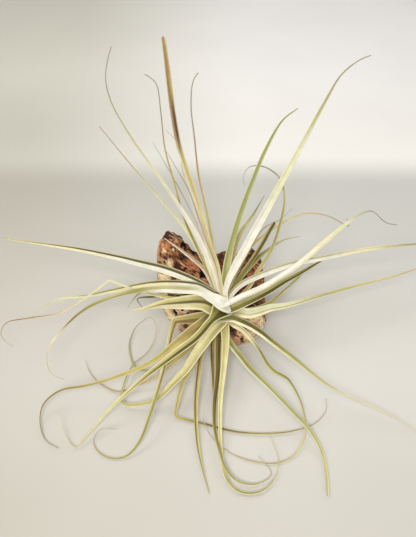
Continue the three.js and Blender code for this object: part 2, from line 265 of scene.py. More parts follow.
def leafMaterial(name, finish):
    material, tree, shader = newMaterial(name)
    across = attribute(tree, "across")
    meet = attribute(tree, "meet")
    lengthwise = vectorOf(tree, attribute(tree, "along") * 30.0, across * 3.0, attribute(tree, "leafSeed"))
    streaks = noiseAt(tree, lengthwise, 2.0, 4.0)
    coordinates = field(tree, "ShaderNodeTexCoord", output="Object")
    scales = noiseAt(tree, coordinates, 2600.0, 2.0)
    patches = noiseAt(tree, coordinates, 110.0, 3.0)

    # the two flanks meet in the fold
    seam = across - meet + (streaks - 0.5) * 0.16
    flank = seam.between(-0.09, 0.09)
    base = mixed(tree, flank, attribute(tree, "tintLeft", "Color"), attribute(tree, "tintRight", "Color"))

    # fine lengthwise ribs, patches, a pale rim and painted shade at the bottom of the fold
    ribs = ((across + streaks * 0.25) * (finish["ribs"] * math.pi)).calc("SINE") * 0.5 + 0.5
    shade = ribs * finish["ribDepth"] + (1.0 - finish["ribDepth"])
    shade = shade * patches.between(0.25, 0.75, 0.93, 1.06)
    shade = shade * streaks.between(0.3, 0.7, 0.93, 1.05)
    base = mixed(tree, 1.0, base, shaded(tree, shade), "MULTIPLY")
    rim = across.calc("ABSOLUTE").between(0.74, 0.88) * attribute(tree, "rim")
    base = mixed(tree, rim, base, linear(chips["margin"]))
    # painted shade: the bottom of the fold darkens towards moss
    foldShade = (across - meet).calc("ABSOLUTE").between(0.32, 0.06) * attribute(tree, "foldShade")
    base = mixed(tree, foldShade, base, linear(chips["moss"]))
    # silvery down
    downy = scales.between(0.45, 0.75, 0.0, finish["down"] * 2.0)
    base = mixed(tree, downy, base, linear(chips["white"]))
    plug(tree, shader.inputs["Base Color"], base)

    roughness = scales.between(0.3, 0.7, finish["roughness"] - 0.08, finish["roughness"] + 0.12)
    plug(tree, shader.inputs["Roughness"], roughness)
    shader.inputs["Sheen Weight"].default_value = finish["sheen"]
    shader.inputs["Sheen Roughness"].default_value = 0.5
    shader.inputs["Specular IOR Level"].default_value = 0.22
    height = ribs * 0.5 + scales * 0.35 + streaks * 0.3
    bump = field(tree, "ShaderNodeBump", {"Height": height, "Strength": 0.55, "Distance": finish["grain"]})
    plug(tree, shader.inputs["Normal"], bump)
    return material


leafMaterials = {slot: leafMaterial(slot, finish) for slot, finish in leafFinishes.items()}
print("leaf finishes made")


# Leaves

crown = {
    "foot": Vector((10, -22, 28)),
    "top": Vector((11, -34, 60)),
    "radii": [0, 5, 7.5, 8, 6.5, 4.5, 2.5, 0],
    "sides": 48,
    "rows": 60,
    "sheaths": 7,          # old ones, whose edges stand round it
    "sheathStep": 0.1,     # of those edges, as a share of the radius
    "middle": 46,          # height and half height over which its colours pass
    "half": 14,
    "left": "cream",
    "right": "olive",
}

leafShape = {
    "columns": 32,         # round the whole section
    "wispColumns": 16,     # the same on a leaf that starts thinner than wispWidth
    "wispWidth": 2,
    "ringGap": 1.7,        # between rings
    "thickness": 0.8,
    "foldDepth": 0.6,      # of the channel, as a share of half the width
    "sheathLength": 26,    # in which a broad clasping base narrows to the blade
    "sheathWidth": 1.1,    # of that base, as a share of the blade's greatest width
    "sheathDepth": 0.5,
    "tipTaper": 0.6,       # how much narrower the last quarter becomes
    "tipFold": 0.3,        # how much deeper the fold is at the tip
    "soft": 0.16,          # how rounded the bottom of the fold is
    "sheathSoft": 0.5,     # how much more rounded it is at the base
    "tipSoft": 0.3,        # and at the tip
    "ripple": 0.35,        # of the margins
    # the next sets the painted shade at the bottom of the fold
    "foldShade": 0.1,         # how dark the bottom of the fold is, from root to tip
    "rim": 0.4,            # how pale the margins are
    "ribs": 3.0,           # from margin to margin
    "ribHeight": 0.05,
    "hairs": 160000.0,     # to the square metre, on the broad part of a leaf
    "hairLength": 0.6,
    "hairWidth": 0.09,
    "hairLean": 0.7,       # greatest lean, in radians
}

# Each leaf leaves the crown at a height (0 foot, 1 top) and follows its route. Widths, the roll in degrees
# and the colours of its left and right flank, as seen from its root, are evenly spaced from root to tip.
# white*3 stands for white three times over. A sheath is the width and length of the clasping base.
# Where one flank is much darker than the other, as with moss and umber, its colour is partly the leaf's
# greener inner face and partly painted shade inside the channel.
leaves = [
    # Rising at the back
    {"name": "leaf_centre_dried", "slot": "dry_leaf", "height": 0.95,
     "widths": [5, 7, 6, 5.5, 5.2, 5.2, 5.2, 5.2, 4], "taper": 0.1,
     "foldShade": [0.1, 0.1, 0.2, 0.7, 0.5, 0.1], "left": "white*2 cream*4 butter cream dusk*2 tan*2 gold",
     "right": "cream butter*4 straw*2 hay umber*2 gold tan*2",
     "route": [(5, -2, 78), (-2, 8, 98), (-12, 24, 132), (-21, 35, 158), (-30, 48, 184), (-35, 59, 212),
     (-38, 69, 240), (-40, 75, 260), (-42, 81, 274)]},
    {"name": "leaf_back_tall_right", "slot": "silver_leaf", "height": 0.92,
     "widths": [4, 8.5, 8.5, 7, 5, 3.5, 2, 1.3], "taper": 0.2, "sheath": (5, 20), "foldShade": [0, 0],
     "left": "white*3 pale*2 sage grey*2", "right": "white*3 pale*2 sage*2 grey",
     "route": [(14.3, -29.3, 60), (14.1, -24.9, 64), (16.8, -17.9, 71), (22.7, -8.7, 80),
     (30.7, 1.6, 90), (38.6, 11.9, 100), (63, 43, 132), (90, 79, 166), (115, 114, 196), (131, 135, 212),
     (151, 151, 220), (164, 158, 222)]},
    {"name": "leaf_back_tall_left", "slot": "silver_leaf", "height": 0.88,
     "widths": [6, 7, 4.6, 2.7, 1.7, 1.3, 1.2], "taper": 0.1, "left": "butter white*2 pale sage grey*2",
     "right": "white*3 pale sage grey*2",
     "route": [(-4, 11, 78), (-22, 32, 106), (-50, 50, 147), (-78, 73, 180), (-95, 91, 204),
     (-101, 106, 220), (-100, 123, 232), (-97, 138, 240)]},
    {"name": "leaf_back_hooked_right", "slot": "silver_leaf", "height": 0.78,
     "widths": [4, 4, 3, 2.2, 1.7, 1.4, 1.2], "taper": 0.1, "left": "butter*2 hay tan grey*2",
     "right": "cream*2 hay tan grey*2",
     "route": [(4, 16, 73), (-3, 35, 110), (-12, 53, 146), (-16, 65, 184), (-19, 82, 208),
     (-17, 98, 224), (-12, 106, 229)]},
    {"name": "leaf_back_hooked_left", "slot": "dry_leaf", "height": 0.8,
     "widths": [4, 3.4, 2.6, 2.2, 1.7, 1.4, 1.2], "taper": 0.1,
     "left": "butter olive*2 gold sage grey*2", "right": "cream butter olive gold*2 grey*2",
     "route": [(-9, 17, 70), (-27, 43, 100), (-37, 64, 130), (-46, 81, 160), (-50, 104, 188),
     (-54, 122, 208), (-60, 128, 212), (-67, 133, 214)]},
    {"name": "leaf_back_thin_left", "slot": "silver_leaf", "height": 0.72,
     "widths": [4, 3.5, 2.6, 1.9, 1.3, 1.1], "taper": 0.1, "left": "cream*2 pale*2 grey*2",
     "right": "butter lime butter sage dusk grey",
     "route": [(-7, 16, 64), (-28, 44, 88), (-55, 68, 110), (-88, 101, 132), (-111, 126, 147),
     (-121, 138, 152)]},
    {"name": "leaf_back_green", "slot": "olive_leaf", "height": 0.84, "widths": [6, 8, 6, 5, 4, 3, 2],
     "taper": 0.3, "left": "olive green*5 sage", "right": "olive sage green*4 sage",
     "route": [(18, 7, 84), (29, 35, 112), (42, 59, 138), (55, 83, 158), (73, 108, 177),
     (89, 119, 184)]},
    {"name": "leaf_back_dark", "slot": "olive_leaf", "height": 0.72, "widths": [6, 9, 7, 4, 1],
     "left": "olive sage*3 moss", "right": "sage tan sage*2 moss",
     "route": [(23, 23, 72), (32, 40, 86), (44, 55, 96), (57, 75, 107)]},
    {"name": "leaf_back_loop", "slot": "olive_leaf", "height": 0.5,
     "widths": [4, 4.2, 4, 3.4, 2.4, 1.6, 1.2], "left": "tan*2 sage olive sage grey*2",
     "right": "straw*2 sage*3 grey*2",
     "route": [(37, -9, 50), (48, 5, 62), (61, 18, 78), (70, 34, 99), (75, 53, 118), (71, 71, 131),
     (55, 85, 136), (40, 90, 132), (34, 85, 122), (36, 82, 114)]},
    {"name": "wisp_back_pale", "slot": "dry_leaf", "height": 0.76, "widths": [1.4, 1.2, 1, 1],
     "left": "pink*2 grey*2", "right": "pink*2 grey*2",
     "route": [(-11, 41, 84), (-27, 68, 106), (-50, 97, 136), (-62, 115, 148)]},
    {"name": "wisp_back_red", "slot": "dry_leaf", "height": 1, "widths": [1.5, 1.4, 1.2, 1],
     "left": "butter tan dusk grey*2", "right": "butter tan dusk grey*2",
     "route": [(5, -14, 88), (-6, 1, 114), (-22, 31, 148), (-36, 48, 166), (-43, 57, 174)]},
    {"name": "wisp_back_short", "slot": "dry_leaf", "height": 0.91, "widths": [1.3, 1.2, 1.1, 1],
     "left": "cream pink*2 grey", "right": "cream pink*2 grey",
     "route": [(3, 3, 69), (-15, 28, 116), (-28, 57, 152), (-34, 75, 172), (-44, 84, 180)]},
    {"name": "wisp_back_grey", "slot": "dry_leaf", "height": 0.66, "widths": [1.6, 1.3, 1.1, 1],
     "left": "olive sage grey", "right": "olive sage grey",
     "route": [(36, 16, 72), (56, 48, 84), (73, 57, 88), (88, 72, 92)]},

    # Right
    {"name": "leaf_right_tan_arch", "slot": "dry_leaf", "height": 0.78,
     "widths": [3, 3.6, 3, 2.4, 2, 1.6, 1.2], "taper": 0.2,
     "left": "tan gold*2 straw butter straw sage grey",
     "right": "straw gold*2 straw butter straw*2 grey",
     "route": [(30, 7, 74), (43, 26, 80), (69, 50, 84), (102, 72, 84), (130, 80, 74), (149, 81, 62),
     (156, 82, 58), (154, 89, 64)]},
    {"name": "leaf_right_broken", "slot": "dry_leaf", "height": 0.62, "widths": [4, 5.5, 5, 5],
     "taper": 0.1, "roll": [0, 20, 30, 30], "left": "olive*2 gold*2", "right": "sage olive moss*2",
     "route": [(26, -2.5, 52), (36.5, 10, 62), (47, 24, 70), (55.5, 34, 80), (61, 40.5, 88),
     (66.5, 47, 94)]},
    {"name": "leaf_right_dark_arch", "slot": "olive_leaf", "height": 0.56, "widths": [6, 9, 6, 2.2, 1],
     "left": "moss*3 hay sage", "right": "olive sage olive hay sage",
     "route": [(27, 4, 50), (41, 18, 58), (56, 31, 64), (78, 47, 68), (99, 60, 62)]},
    {"name": "leaf_right_curled", "slot": "silver_leaf", "height": 0.95,
     "widths": [7, 8, 7.6, 6.6, 5.6, 3.8, 2.2, 1.6], "taper": 0.2, "sheath": (9, 26),
     "roll": [25, 25, 25, 35, 45, 45, 20, 0], "meet": 0.3, "foldShade": [0, 0],
     "left": "white*4 cream pale grey*2", "right": "white*2 cream*2 pale*2 grey*2",
     "route": [(12.5, -41.3, 62.5), (20.4, -37.8, 64), (29.3, -33.3, 65.5), (38.2, -29.4, 67),
     (48.1, -25.5, 69), (58.1, -20.4, 71.5), (70.3, -13.5, 75), (81.3, -7.7, 79), (99, 5, 86),
     (126, 26, 97), (153, 46, 104), (167, 52, 104), (182, 46, 94), (196, 49, 88)]},
    {"name": "leaf_right_long_upper", "slot": "silver_leaf", "height": 0.7,
     "widths": [5, 6.5, 6, 5, 4.2, 3.2, 2], "taper": 0.3, "sheath": (5, 20),
     "roll": [0, 15, 25, 25, 25, 20, 0], "meet": -0.45, "left": "olive sage*3 cream sage grey",
     "right": "white*4 cream sage grey",
     "route": [(17.9, -27.2, 57), (22, -21.4, 59.5), (28.1, -15.1, 61.5), (35.3, -10.3, 63),
     (47.6, -5.4, 66), (70.2, 2.7, 70), (91, 8.7, 72), (115, 13, 74), (157, 23, 76), (191, 29, 76),
     (216, 34, 74), (243, 39, 70)]},
    # Its dark olive colours stand for the lower flank of leaf_right_curled, just above it: partly its
    # greener face and partly painted shade.
    {"name": "leaf_right_olive", "slot": "olive_leaf", "height": 0.6, "widths": [10, 10.5, 9, 7, 5.5, 3],
     "taper": 0.3, "sheath": (12, 30), "roll": [30, 30, 25, 20, 20, 20], "meet": -0.3, "rim": 0.8,
     "left": "olive sage*2 lime olive moss", "right": "moss olive moss*4",
     "route": [(19.4, -42.8, 59), (26.3, -40, 60), (35.3, -34.6, 60), (46.7, -26.8, 59),
     (59.5, -16.4, 57), (76.4, -1, 54), (93, 13.8, 50), (123.1, 41.2, 44)]},
    {"name": "leaf_right_low", "slot": "olive_leaf", "height": 0.4, "widths": [4, 4, 4, 3, 2, 1],
     "sheath": (7, 24), "left": "olive green lime olive lime*2", "right": "butter*2 lime butter lime*2",
     "route": [(25, -33, 46), (41, -31, 45), (60, -20, 42), (76, -1, 38), (92, 20, 34), (114, 51, 30)]},
    {"name": "leaf_right_kinked", "slot": "silver_leaf", "height": 0.48,
     "widths": [8, 10, 6.4, 4.6, 3.8, 3, 2.4, 1.6], "sheath": (9, 30),
     "roll": [35, 35, 10, 0, 0, 0, 0, 0], "meet": 0.2, "foldShade": [0.2, 0.8, 0.9, 0.4],
     "left": "hay pale*2 sage hay butter straw tan", "right": "butter cream*2 butter*3 straw*2",
     "route": [(19.5, -40.5, 52), (27.5, -44, 55.5), (36.7, -47.6, 57.5), (46.7, -44.6, 57),
     (58.9, -38.9, 56), (73.1, -35.4, 55), (99.2, -25.2, 54), (144, -6, 50), (192, 15, 44),
     (223, 31, 40), (251, 48, 36)]},

    # Front right
    {"name": "leaf_front_right_long", "slot": "silver_leaf", "height": 0.42,
     "widths": [9, 8.6, 6.2, 5.4, 4.5, 3, 2, 1], "sheath": (10, 24),
     "roll": [35, 40, 35, 20, 0, 0, 0, 0], "fold": 0.35, "meet": 0.2,
     "left": "olive*2 moss*2 olive green hay pale*5", "right": "cream*2 margin*2 butter*2 pale*6",
     "route": [(9, -47.5, 49), (15, -49, 51.5), (21.5, -51, 53.5), (29, -56, 55), (37, -61, 55),
     (46.5, -68.5, 54.5), (57, -77.5, 52), (76, -91.6, 46), (105.4, -112.1, 34), (133, -121, 22),
     (169, -134, 12), (188, -146, 7), (205, -160, 3)]},
    {"name": "leaf_front_right_twisted", "slot": "olive_leaf", "height": 0.28,
     "widths": [5, 5.6, 5.2, 4.6, 2.8, 4.4, 3, 2.4, 2.2, 2, 1.8, 1.6, 1.4, 1.2, 1, 1, 1],
     "sheath": (6, 20), "roll": [30, 30, 30, 10] + [0] * 13, "fold": 0.25, "meet": -0.4, "rim": 0.6,
     "foldShade": [0.3, 0.8, 0.6, 0.4, 0],
     "left": "olive sage cream*2 olive lime olive*2 sage butter*4 tan*2 grey*2",
     "right": "cream*4 olive lime*2 hay*2 butter*2 tan*4 grey*2",
     "route": [(21.5, -53.5, 48.5), (28, -58.5, 48.5), (33, -63, 47.5), (37.5, -69, 46.5),
     (42.5, -76, 44.5), (47, -82.5, 42), (50, -88, 39.5), (53, -92.5, 37), (56, -95.5, 35),
     (60, -98, 32.5), (66, -99.5, 29.5), (72, -101, 25.5), (76.5, -105, 21), (82, -116, 16.5),
     (85, -124, 12), (86, -145, 6), (76, -164, 3), (58, -173, 2), (36, -171, 2), (15, -162, 2),
     (-2, -147, 6), (-8, -136, 16)]},
    {"name": "leaf_front_right_down", "slot": "olive_leaf", "height": 0.12,
     "widths": [8, 7.6, 6, 4.8, 3.8, 3.1, 2.4], "taper": 0.2, "sheath": (8, 24),
     "foldShade": [0.6, 0.9, 0.6, 0.6], "left": "olive green olive green*2 hay butter",
     "right": "hay cream pale*2 butter*2 lime",
     "route": [(14.5, -59, 36), (20, -69.5, 35.5), (27.5, -81.5, 35), (35.5, -94, 34), (54, -114, 30),
     (75, -134, 20), (89, -147, 12), (98, -163, 5), (100, -184, 3), (98, -203, 3)]},

    # Front
    {"name": "leaf_front_broad", "slot": "olive_leaf", "height": 0.27,
     "widths": [8, 9, 6, 4.4, 3.4, 2.8, 2.2, 1.6, 1], "sheath": (9, 30), "fold": 0.3, "rim": 0.9,
     "left": "hay*2 butter*3 lime olive sage grey", "right": "gold*2 hay*4 olive sage grey",
     "route": [(12.7, -49.2, 47), (13.5, -59.6, 46), (13.8, -68.7, 42), (13.3, -78, 37),
     (11.6, -94.5, 31), (8.5, -120.4, 22), (7.9, -142.5, 14), (9, -168, 7), (13, -188, 4), (24, -199, 3),
     (41, -199, 3), (55, -187, 3), (59, -172, 5), (53, -150, 8)]},
    {"name": "leaf_front_dark", "slot": "olive_leaf", "height": 0.18,
     "widths": [6, 6.5, 5.5, 4.4, 3.2, 2.2, 1.5, 1], "sheath": (10, 24),
     "left": "olive moss*3 brown olive green grey", "right": "olive*2 brown*2 olive lime tan grey",
     "route": [(7, -65, 35), (6, -97, 25), (3, -123, 17), (3, -144, 12), (7, -165, 11), (13, -183, 9),
     (24, -192, 6), (40, -192, 3), (52, -184, 4), (41, -170, 9)]},
    {"name": "leaf_front_short", "slot": "olive_leaf", "height": 0.1, "widths": [6, 6, 4.5, 2.5, 1],
     "left": "straw hay brown*2 olive", "right": "moss brown moss olive*2",
     "route": [(2, -60.5, 36), (1, -76.5, 32), (1.5, -91, 26), (2, -103.5, 18), (2.5, -116, 10),
     (2, -127.5, 4)]},
    {"name": "leaf_front_left", "slot": "olive_leaf", "height": 0.05, "widths": [5, 5.5, 4.8, 4, 3, 1.6],
     "left": "moss brown gold*2 hay lime", "right": "moss brown*3 olive*2",
     "route": [(-4, -62, 33), (-9, -75, 33), (-12, -95, 27), (-14, -114, 18), (-14, -135, 9),
     (-12, -157, 4), (-7, -182, 3), (-2, -201, 3)]},
    {"name": "leaf_front_kinked", "slot": "dry_leaf", "height": 0.02,
     "widths": [4.5, 5.4, 4.8, 3, 2.4, 1.9, 1.4, 1], "left": "butter*2 straw hay moss olive*2 grey",
     "right": "moss olive lime gold brown hay tan grey",
     "route": [(-4, -57, 29), (-15, -80, 25), (-27, -104, 22), (-31.5, -118.5, 12), (-33, -124, 7),
     (-33.5, -126.5, 4.5), (-33, -127.5, 3.5), (-31.5, -128, 3.5), (-25, -130, 3), (-6, -135, 3),
     (22, -143, 3), (50, -145, 3), (77, -142, 3), (98, -134, 4), (108, -123, 8), (108, -114, 14)]},

    # Front left
    {"name": "leaf_front_left_broad", "slot": "olive_leaf", "height": 0.32,
     "widths": [12, 14, 11.5, 7.5, 3.8, 2.2, 1.5, 1.2, 1], "sheath": (14, 30), "fold": 0.3, "rim": 0.8,
     "left": "hay*2 butter hay*2 lime olive tan grey", "right": "hay butter*3 hay lime olive tan grey",
     "route": [(10.7, -50.4, 50), (5.2, -58.9, 50.5), (-0.6, -66.7, 49.5), (-6.4, -74, 46.5),
     (-12.5, -81.5, 42.5), (-18.1, -88.7, 38), (-23.7, -95.4, 33), (-30.2, -101, 29),
     (-36.7, -106.1, 25), (-49.8, -115.6, 16), (-67, -118, 9), (-80, -117, 7), (-84, -115, 7),
     (-86, -110, 7), (-84, -91, 8), (-77, -72, 9), (-64, -58, 10), (-57, -36, 12), (-59, -25, 20),
     (-66, -26, 27)]},
    {"name": "leaf_front_left_green", "slot": "olive_leaf", "height": 0.5,
     "widths": [7, 7.5, 7, 5, 3.5, 2.1, 1.2, 0.9], "sheath": (23, 24), "rim": 0.7,
     "foldShade": [0.6, 1, 1, 0.4, 0.1, 0], "rooted": False, "left": "moss*3 olive hay butter sage grey",
     "right": "olive lime hay*2 butter*2 sage grey",
     "route": [(12.5, -39.5, 57), (7.5, -47, 58.5), (2.5, -54.5, 59.5), (-3.5, -63, 59.5),
     (-9.5, -72, 59), (-16.5, -80, 58), (-26.9, -89, 57), (-42, -101.3, 54), (-57.4, -109.9, 46),
     (-70.4, -116.1, 36), (-94.6, -130.5, 18), (-112, -147.6, 7), (-122, -158, 3), (-130, -152, 6),
     (-140, -132, 18)]},
    {"name": "leaf_front_left_tan", "slot": "dry_leaf", "height": 0.18,
     "widths": [4, 5.5, 4, 2.8, 2, 1.4, 1], "left": "moss brown gold straw tan*2 grey",
     "right": "straw*2 gold straw*2 tan grey",
     "route": [(-5, -55.7, 38), (-14.6, -68.3, 36), (-24.3, -74.3, 32), (-32, -79.5, 27),
     (-41.7, -85.2, 21), (-51.5, -90.3, 15), (-69.1, -94.8, 8), (-90, -100, 3), (-106, -93, 3),
     (-118, -82, 3), (-124, -73, 5), (-126, -66, 8)]},
    {"name": "leaf_front_left_loop", "slot": "olive_leaf", "height": 0.1,
     "widths": [3, 3, 2.8, 2.5, 2.3, 2.1, 1.4], "left": "olive lime*4 sage grey",
     "right": "olive gold lime*3 sage grey",
     "route": [(-22, -71, 34), (-42, -81, 22), (-60, -81, 10), (-76, -71, 4), (-83, -55, 3),
     (-85, -38, 3), (-80, -21, 5), (-69, -13, 10)]},
    {"name": "leaf_left_far_curl", "slot": "olive_leaf", "height": 0.56,
     "widths": [15, 15, 8, 4.6, 3.5, 2.6, 1.9, 1.4, 1], "sheath": (17, 36),
     "roll": [-35, -35, -15, 0, 0, 0, 0, 0], "left": "umber brown gold*3 olive brown*2 umber",
     "right": "brown gold*2 lime gold*2 olive brown umber",
     "route": [(-1, -44.5, 47), (-9, -56.5, 51), (-17, -64.5, 53), (-25, -73, 54), (-33, -81, 54),
     (-43.5, -91, 52), (-59, -100.5, 48), (-87.6, -107.2, 38), (-116, -111, 30), (-142, -111, 21),
     (-157, -120, 12), (-159, -133, 5), (-151, -151, 3), (-137, -160, 4)]},
    {"name": "leaf_left_kinked_drop", "slot": "silver_leaf", "height": 0.66,
     "widths": [12, 11.5, 5, 4.4, 3.8, 2.8, 1.6, 1.2, 1], "sheath": (15, 30),
     "roll": [-30, -30, 0, 0, 0, 0, 0, 0], "rim": 0.4, "foldShade": [0, 0.1, 0.3, 0.1],
     "left": "brown*4 olive*3 tan grey", "right": "gold*2 hay cream hay lime*2 tan grey",
     "route": [(-1, -40, 47), (-8, -46, 50), (-18.5, -51, 54), (-28.5, -55.5, 57.5), (-32, -57, 59),
     (-34.2, -58, 59.5), (-35, -60, 59.5), (-36, -65, 59.5), (-37.8, -71.3, 57.5), (-41.9, -92.3, 48.5),
     (-46.9, -111.5, 38), (-55.4, -136, 22), (-64.7, -156.5, 9), (-76, -167, 3), (-90, -168, 2),
     (-103, -161, 3), (-107, -151, 4), (-101, -143, 7), (-85, -146, 13)]},

    # Left
    {"name": "leaf_left_pale_fold", "slot": "silver_leaf", "height": 0.64,
     "widths": [16, 17, 15, 11, 6, 1.2], "sheath": (24, 22), "roll": [-35, -35, -30, -20, 0, 0],
     "fold": 0.5, "meet": 0.18, "rim": 0.7, "foldShade": [0.8, 1, 1, 0.9, 0.6, 0.2],
     "left": "olive hay cream*3 butter", "right": "moss olive hay*2 butter*2",
     "route": [(0.9, -38.7, 58), (-5.9, -36.5, 60), (-13.8, -36.2, 61), (-22.5, -37.2, 61.5),
     (-35.3, -37.8, 61), (-50, -37.8, 59), (-64.9, -39.1, 55.5), (-81.9, -39.9, 52)]},
    {"name": "leaf_left_brown_tip", "slot": "dry_leaf", "height": 0.68,
     "widths": [3.5, 3, 2.6, 2, 1.6, 1.4, 1], "left": "cream*2 pale*2 cream*2 straw rust grey",
     "right": "olive lime hay pale*2 straw rust*2 grey",
     "route": [(-21, -29, 57), (-43, -29, 60), (-66, -29, 68), (-89, -26, 76), (-98, -23.5, 78.5),
     (-100.5, -24, 78.5), (-103, -25.5, 77), (-124, -36, 66), (-147, -46, 57), (-178, -45, 48),
     (-204, -45, 40), (-209, -52, 33), (-206, -57, 29), (-196, -63, 25)]},
    {"name": "leaf_left_upper_white", "slot": "silver_leaf", "height": 0.86,
     "widths": [5, 7, 6.4, 5, 3.4, 2.2, 1], "sheath": (7, 20), "meet": 0.35, "rim": 0.4,
     "left": "white*2 cream*2 pale*2 sage", "right": "moss*3 olive*2 pale sage",
     "route": [(6.9, -29.7, 62), (-3, -24.3, 65.5), (-12.9, -20.5, 68), (-22.8, -20.2, 70),
     (-35.5, -20.8, 72), (-59.9, -22.8, 73), (-89.2, -27.1, 70), (-118.5, -31.4, 66), (-147, -31, 61),
     (-166, -36, 54), (-177, -43, 47)]},
    {"name": "leaf_left_curved_white", "slot": "silver_leaf", "height": 1,
     "widths": [6, 8, 8, 6, 4.4, 3.4, 2.4, 1.5, 1], "sheath": (16, 34),
     "roll": [-20, -30, -25, -10, 0, 0, 0, 0, 0], "fold": 0.4, "foldShade": [0, 0], "rooted": False,
     "left": "white*4 olive*4 cream sage grey",
     "right": "white*2 sage*2 olive sage olive brown cream sage grey",
     "route": [(18.5, -39, 61), (15, -41, 62.5), (10, -41, 65), (5, -38.3, 67), (-1.1, -35.6, 68.5),
     (-7.9, -32.7, 71), (-15.6, -31.8, 73.5), (-24.2, -33.3, 76), (-48.9, -36, 80), (-75.3, -39.4, 80),
     (-102.1, -44.5, 74), (-122, -52, 67), (-140, -64, 56), (-153, -77, 45), (-155, -89, 37),
     (-150, -98, 30), (-138, -102, 26)]},
    {"name": "leaf_left_long", "slot": "silver_leaf", "height": 0.9,
     "widths": [5, 8.5, 9.2, 7, 5.2, 3.8, 2.6, 1.8], "taper": 0.2, "sheath": (7, 20), "meet": 0.3,
     "rim": 0.5, "left": "white*4 cream*2 straw", "right": "moss*5 olive sage",
     "route": [(7.8, -30.6, 63), (1, -25.1, 65), (-7, -19.3, 66), (-15, -14.4, 67), (-31.2, -6.7, 69),
     (-51.5, -0.1, 72), (-71.6, 3.1, 76), (-91.5, 5.2, 81), (-130.1, 6, 92), (-171, 14, 93),
     (-200, 21, 92), (-211, 25, 91)]},
    {"name": "leaf_left_pink_short", "slot": "silver_leaf", "height": 0.62, "widths": [4, 5, 4.5, 3, 1],
     "left": "pink*5", "right": "brown tan*3 pink",
     "route": [(-7, 12, 58), (-22, 21, 68), (-37, 28, 77), (-49, 33, 84)]},
    {"name": "wisp_left_kinked", "slot": "dry_leaf", "height": 0.54, "widths": [2, 1.8, 1.8, 2.4, 1.6],
     "left": "olive*3 moss*2", "right": "olive*3 moss*2",
     "route": [(-15, -23, 50), (-40, -19, 50), (-60, -18, 49), (-75, -19, 47), (-70, -24, 40)]},
    {"name": "wisp_left_low", "slot": "dry_leaf", "height": 0.46, "widths": [1.8, 1.6, 1.6, 1.6, 1.2],
     "left": "cream olive*3", "right": "sage olive*3",
     "route": [(-25, -16, 48), (-52, -9, 47), (-73, -10, 46), (-80, -18, 44), (-85, -27, 42)]},
]


def alongList(values, share):
    # the value at a share of the way along an evenly spaced list
    spot = min(max(share, 0.0), 1.0) * (len(values) - 1)
    before = min(int(spot), len(values) - 2)
    rest = spot - before
    return values[before] * (1 - rest) + values[before + 1] * rest


def smooth(value, low, high):
    share = min(max((value - low) / (high - low), 0.0), 1.0)
    return share * share * (3 - 2 * share)


def curvePoint(points, number, share):
    # a centripetal curve through the points: its place and its direction
    first = points[number]
    second = points[number + 1]
    before = points[number - 1] if number > 0 else first * 2 - second
    after = points[number + 2] if number + 2 < len(points) else second * 2 - first
    gapBefore = math.sqrt((first - before).length)
    gap = math.sqrt((second - first).length)
    gapAfter = math.sqrt((after - second).length)
    pull = (first - before) / gapBefore - (second - before) / (gapBefore + gap) + (second - first) / gap
    push = (second - first) / gap - (after - first) / (gap + gapAfter) + (after - second) / gapAfter
    pull *= gap
    push *= gap
    square = first * -3 + second * 3 - pull * 2 - push
    cube = first * 2 - second * 2 + pull + push
    spot = first + pull * share + square * share ** 2 + cube * share ** 3
    ahead = pull + square * (2 * share) + cube * (3 * share ** 2)
    return spot, ahead.normalized()


def spineOf(leaf, steps=6):
    # places, openings of the channel and lengths along a leaf
    root = crown["foot"].lerp(crown["top"], leaf["height"])
    points = [Vector(spot) for spot in leaf["route"]]
    if leaf.get("rooted", True):
        points.insert(0, root)
    opening = (crown["top"] - crown["foot"]).normalized()
    spine = []
    length = 0.0
    for number in range(len(points) - 1):
        for step in range(steps + (number == len(points) - 2)):
            spot, ahead = curvePoint(points, number, step / steps)
            opening = (opening - ahead * opening.dot(ahead)).normalized()
            if spine:
                length += (spot - spine[-1][0]).length
            spine.append((spot, opening.copy(), ahead, length))
    return spine


def coloursOf(text):
    # the colours that a flank's words stand for
    colours = []
    for part in text.split():
        word, _, times = part.partition("*")
        colours += [Vector(linear(chips[word]))] * int(times or 1)
    return colours


def spineMesh(leaf):
    # the leaf's middle line as a mesh, with what the blade needs stored at its points
    spine = spineOf(leaf)
    whole = spine[-1][3]
    rolls = leaf.get("roll", [0, 0])
    broad = leaf["widths"][1]
    sheath, clasped = leaf.get("sheath", (leafShape["sheathWidth"] * broad, leafShape["sheathLength"]))
    depth = leaf.get("fold", leafShape["foldDepth"])
    taper = leaf.get("taper", leafShape["tipTaper"])
    mesh = bpy.data.meshes.new(leaf["name"] + "Spine")
    mesh.from_pydata([spot * mm for spot, *_ in spine], [(i, i + 1) for i in range(len(spine) - 1)], [])
    kinds = {"opening": "FLOAT_VECTOR", "halfWidth": "FLOAT", "fold": "FLOAT", "soft": "FLOAT",
             "foldShade": "FLOAT", "tintLeft": "FLOAT_COLOR", "tintRight": "FLOAT_COLOR"}
    rows = {label: [] for label in kinds}
    foldShades = leaf.get("foldShade", [leafShape["foldShade"], 0])
    left, right = coloursOf(leaf["left"]), coloursOf(leaf["right"])
    for spot, opening, ahead, length in spine:
        share = length / whole
        clasp = 1 - smooth(length, 0.0, clasped)
        rolled = smooth(share, 0.6, 1.0)
        blade = alongList(leaf["widths"], share) / 2 * (1 - taper * smooth(share, 0.75, 1.0))
        turn = Matrix.Rotation(math.radians(alongList(rolls, share)), 3, ahead)
        rows["opening"].append(turn @ opening)
        rows["halfWidth"].append((blade + (sheath / 2 - blade) * clasp) * mm)
        deeper = leafShape["tipFold"] * rolled
        rows["fold"].append(depth + (leafShape["sheathDepth"] - depth) * clasp + deeper)
        softer = leafShape["tipSoft"] * rolled
        rows["soft"].append(leafShape["soft"] + leafShape["sheathSoft"] * clasp + softer)
        rows["foldShade"].append(alongList(foldShades, share))
        rows["tintLeft"].append(alongList(left, share))
        rows["tintRight"].append(alongList(right, share))
    for label, kind in kinds.items():
        storeValues(mesh, label, rows[label], kind)
    return mesh, whole


